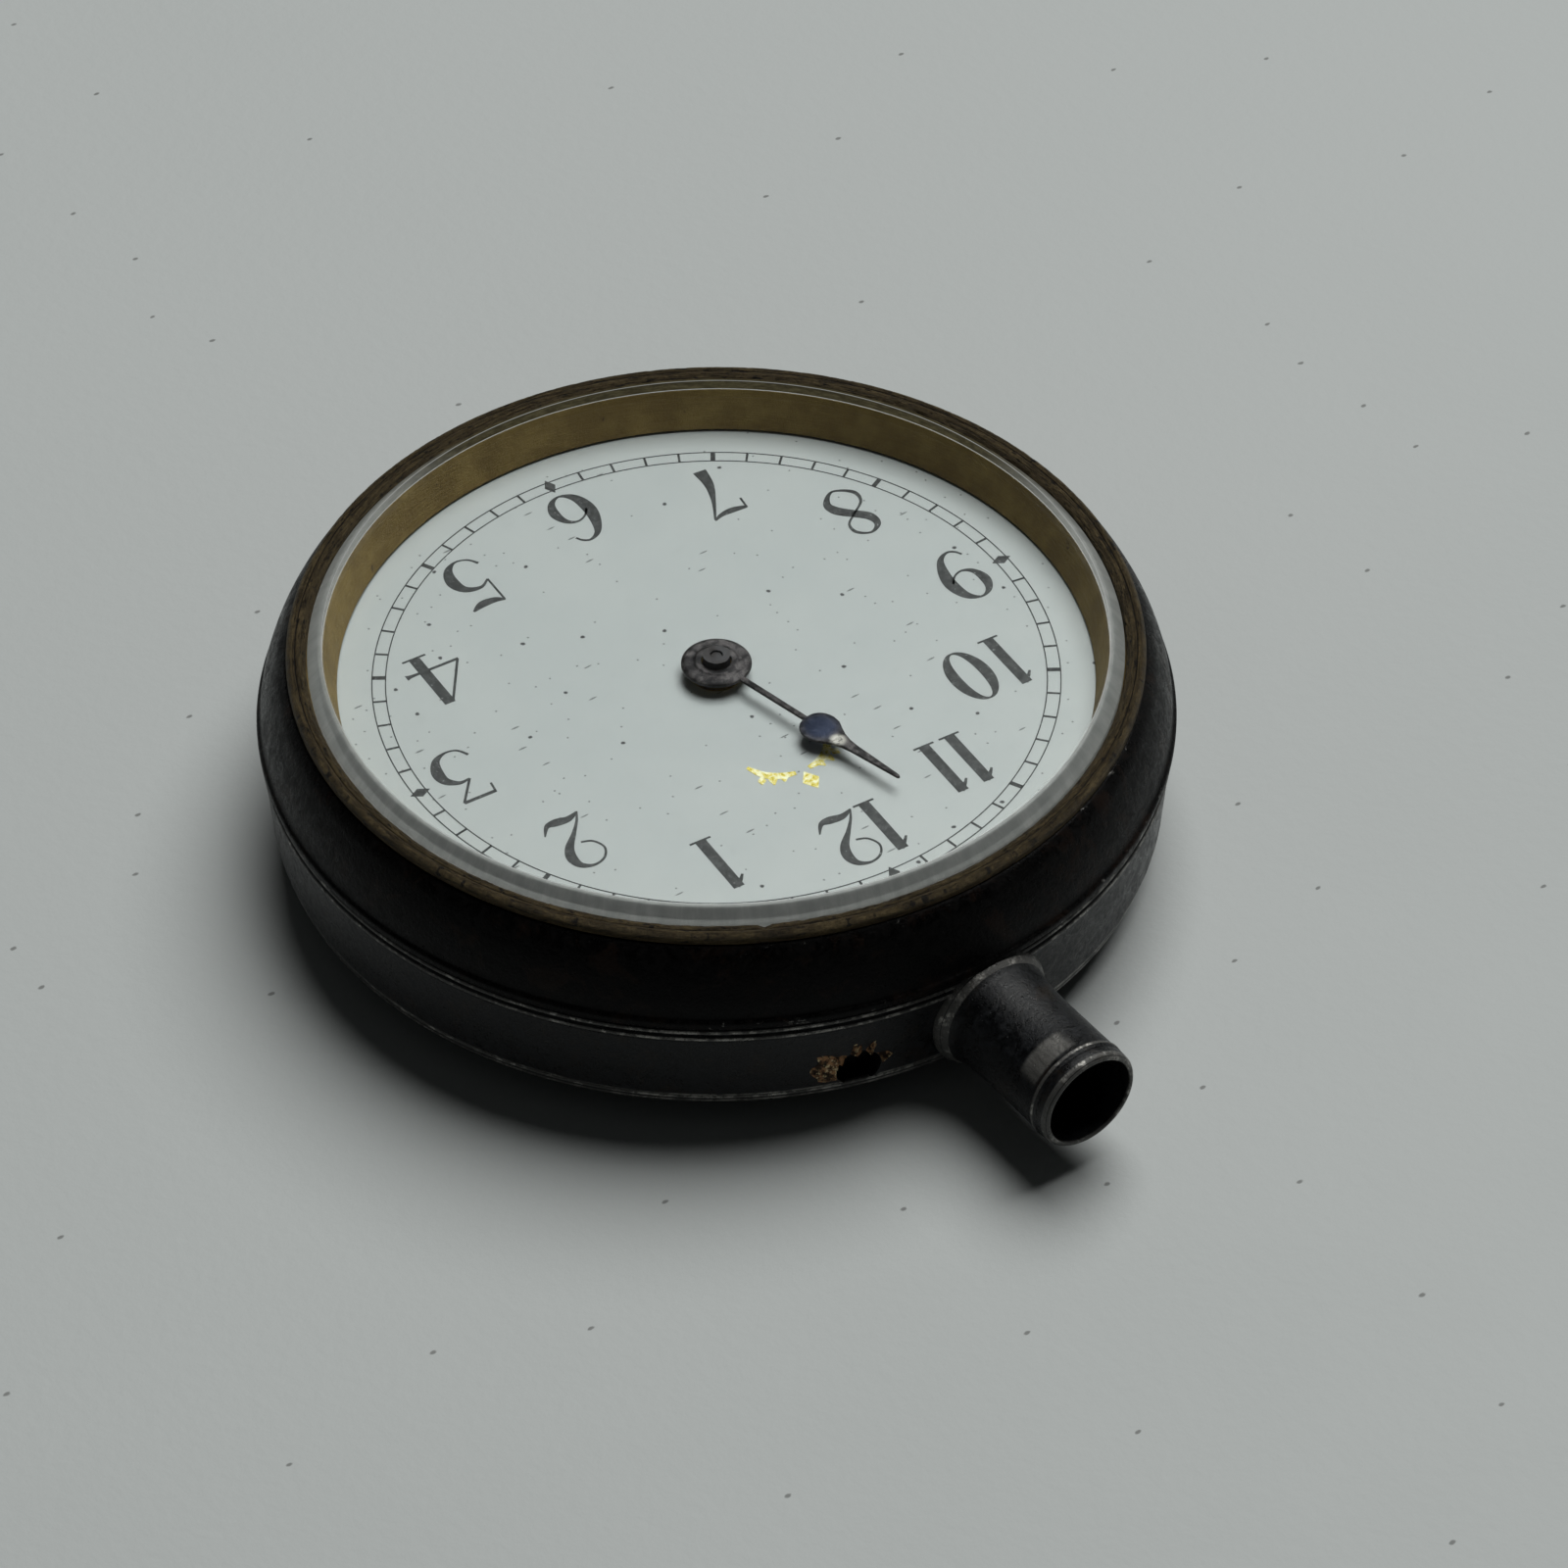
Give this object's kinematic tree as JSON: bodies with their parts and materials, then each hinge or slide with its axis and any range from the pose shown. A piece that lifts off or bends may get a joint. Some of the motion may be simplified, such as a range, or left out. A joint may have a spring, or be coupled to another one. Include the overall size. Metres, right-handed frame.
{
  "type": "open face pocket watch",
  "caption": "Open-face pocket watch: black steel case with bevelled glass, enamel dial with upright numerals, pear hour hand, bare pendant tube and a lever movement inside.",
  "frame": {"origin": "centre of the flat foot of the domed back, which the watch lies on", "axes": "+Y towards the pendant, +Z out of the dial, +X towards three o'clock"},
  "size_m": [0.048, 0.0573, 0.013],
  "materials": {
    "case_gunmetal": "satin black oxidised steel, rubbed bright at the edges",
    "bezel_gunmetal": "satin black oxide with brown mottling",
    "lip_brass": "worn, dirty, fine concentric streaks",
    "crystal_glass": "polished, bevelled edge",
    "boss_brass": "torn, bright at the breaks",
    "dial_enamel": "glossy white enamel with specks",
    "hand_steel": "black steel, blued on the bulb",
    "plate_gilt": "frosted gilding",
    "blued_steel": "heat blued, polished",
    "ruby": "polished synthetic ruby",
    "wheel_brass": "grained",
    "polished_steel": "polished"
  },
  "bodies": {
    "back": {"back_cover": "case_gunmetal"},
    "case": {"mid_case": "case_gunmetal", "hinge_pin": "polished_steel", "pendant_tube": "case_gunmetal", "setting_pin_boss": "boss_brass", "bezel": "bezel_gunmetal", "crystal_ring": "lip_brass", "crystal": "crystal_glass", "dial": "dial_enamel", "main_plate": "plate_gilt", "barrel_bridge": "plate_gilt", "train_bridge": "plate_gilt", "balance_cock": "plate_gilt", "pallet_cock": "plate_gilt", "barrel_bridge_screw_1": "blued_steel", "barrel_bridge_screw_2": "blued_steel", "barrel_bridge_screw_3": "blued_steel", "train_bridge_screw_1": "blued_steel", "train_bridge_screw_2": "blued_steel", "balance_cock_screw": "blued_steel", "crown_wheel_screw": "blued_steel", "click_screw": "blued_steel", "click_spring": "blued_steel", "third_jewel": "ruby", "fourth_jewel": "ruby", "escape_jewel": "ruby", "balance_jewel": "ruby", "cap_jewel_plate": "polished_steel", "hairspring": "blued_steel"},
    "hour_hand": {"hour_hand": "hand_steel", "hour_wheel": "wheel_brass"},
    "cannon": {"cannon_pinion": "polished_steel"},
    "minute_wheel": {"minute_wheel": "wheel_brass"},
    "setting_wheel": {"setting_wheel": "polished_steel"},
    "barrel": {"barrel": "wheel_brass", "barrel_cover": "wheel_brass", "mainspring": "blued_steel"},
    "winding_arbor": {"barrel_arbor": "polished_steel", "ratchet_wheel": "polished_steel", "ratchet_screw": "blued_steel"},
    "crown_wheel": {"crown_wheel": "polished_steel"},
    "winding_pinion": {"winding_pinion": "polished_steel"},
    "clutch": {"clutch_wheel": "polished_steel"},
    "yoke": {"setting_yoke": "polished_steel"},
    "click": {"click": "polished_steel"},
    "centre": {"centre_pinion": "polished_steel", "centre_wheel": "wheel_brass"},
    "third": {"third_pinion": "polished_steel", "third_wheel": "wheel_brass"},
    "fourth": {"fourth_pinion": "polished_steel", "fourth_wheel": "wheel_brass"},
    "escape": {"escape_pinion": "polished_steel", "escape_wheel": "polished_steel"},
    "pallet": {"pallet_fork": "polished_steel"},
    "balance": {"balance_staff": "polished_steel", "balance_wheel": "wheel_brass"},
    "regulator": {"regulator": "polished_steel"}
  },
  "joints": [
    {"name": "case_swing", "type": "hinge", "parent": "back", "child": "case", "pos_m": [0, -0.0245, 0.00275], "axis": [1, 0, 0], "range_deg": [0, 100]},
    {"name": "hour_hand_turn", "type": "hinge", "parent": "case", "child": "hour_hand", "pos_m": [0, 0, 0.0102], "axis": [0, 0, -1], "continuous": true},
    {"name": "cannon_turn", "type": "hinge", "parent": "case", "child": "cannon", "pos_m": [0, 0, 0.009], "axis": [0, 0, -1], "continuous": true},
    {"name": "minute_wheel_turn", "type": "hinge", "parent": "case", "child": "minute_wheel", "pos_m": [0.00137, 0.00376, 0.008], "axis": [0, 0, -1], "continuous": true},
    {"name": "setting_wheel_turn", "type": "hinge", "parent": "case", "child": "setting_wheel", "pos_m": [0.00076, 0.01073, 0.0077], "axis": [0, 0, -1], "continuous": true},
    {"name": "escape_turn", "type": "hinge", "parent": "case", "child": "escape", "pos_m": [0.00512, -0.00799, 0.0054], "axis": [0, 0, -1], "continuous": true},
    {"name": "fourth_turn", "type": "hinge", "parent": "case", "child": "fourth", "pos_m": [0.00752, -0.00383, 0.006], "axis": [0, 0, -1], "continuous": true},
    {"name": "third_turn", "type": "hinge", "parent": "case", "child": "third", "pos_m": [0.0062, 0.00109, 0.0049], "axis": [0, 0, -1], "continuous": true},
    {"name": "centre_turn", "type": "hinge", "parent": "case", "child": "centre", "pos_m": [0, 0, 0.0041], "axis": [0, 0, -1], "continuous": true},
    {"name": "barrel_turn", "type": "hinge", "parent": "case", "child": "barrel", "pos_m": [-0.0057, 0.00575, 0.0055], "axis": [0, 0, -1], "continuous": true},
    {"name": "ratchet_turn", "type": "hinge", "parent": "case", "child": "winding_arbor", "pos_m": [-0.0057, 0.00575, 0.0025], "axis": [0, 0, -1], "continuous": true},
    {"name": "crown_wheel_turn", "type": "hinge", "parent": "case", "child": "crown_wheel", "pos_m": [0, 0.01107, 0.0025], "axis": [0, 0, -1], "continuous": true},
    {"name": "winding_pinion_turn", "type": "hinge", "parent": "case", "child": "winding_pinion", "pos_m": [0, 0.0155, 0.00465], "axis": [0, 1, 0], "continuous": true},
    {"name": "click_swing", "type": "hinge", "parent": "case", "child": "click", "pos_m": [-0.01181, 0.00353, 0.0025], "axis": [0, 0, 1], "range_deg": [0, 14], "stiffness_Nm_per_rad": 0.0001},
    {"name": "balance_swing", "type": "hinge", "parent": "case", "child": "balance", "pos_m": [-0.0033, -0.012, 0.0041], "axis": [0, 0, -1], "range_deg": [-220, 220], "stiffness_Nm_per_rad": 0.000002},
    {"name": "pallet_swing", "type": "hinge", "parent": "case", "child": "pallet", "pos_m": [0.00121, -0.00985, 0.0054], "axis": [0, 0, -1], "range_deg": [-5, 5]},
    {"name": "regulator_turn", "type": "hinge", "parent": "case", "child": "regulator", "pos_m": [-0.0033, -0.012, 0.00175], "axis": [0, 0, -1], "range_deg": [-25, 25]},
    {"name": "yoke_turn", "type": "hinge", "parent": "case", "child": "yoke", "pos_m": [0.0044, 0.0132, 0.0055], "axis": [0, 0, 1], "range_deg": [0, 9]},
    {"name": "clutch_slide", "type": "slide", "parent": "case", "child": "clutch", "axis": [0, -1, 0], "range_m": [0, 0.000486], "stiffness_N_per_m": 20}
  ],
  "couplings": [
    {"joint": "cannon_turn", "follows": "hour_hand_turn", "ratio": 12},
    {"joint": "minute_wheel_turn", "follows": "hour_hand_turn", "ratio": -4},
    {"joint": "setting_wheel_turn", "follows": "hour_hand_turn", "ratio": 3},
    {"joint": "fourth_turn", "follows": "escape_turn", "ratio": -0.1},
    {"joint": "third_turn", "follows": "escape_turn", "ratio": 0.0125},
    {"joint": "centre_turn", "follows": "escape_turn", "ratio": -0.0016667},
    {"joint": "barrel_turn", "follows": "escape_turn", "ratio": 0.00020833},
    {"joint": "crown_wheel_turn", "follows": "ratchet_turn", "ratio": -1.3333},
    {"joint": "winding_pinion_turn", "follows": "ratchet_turn", "ratio": 2.2857},
    {"joint": "yoke_turn", "follows": "clutch_slide", "rad_per_m": 322.58}
  ]
}
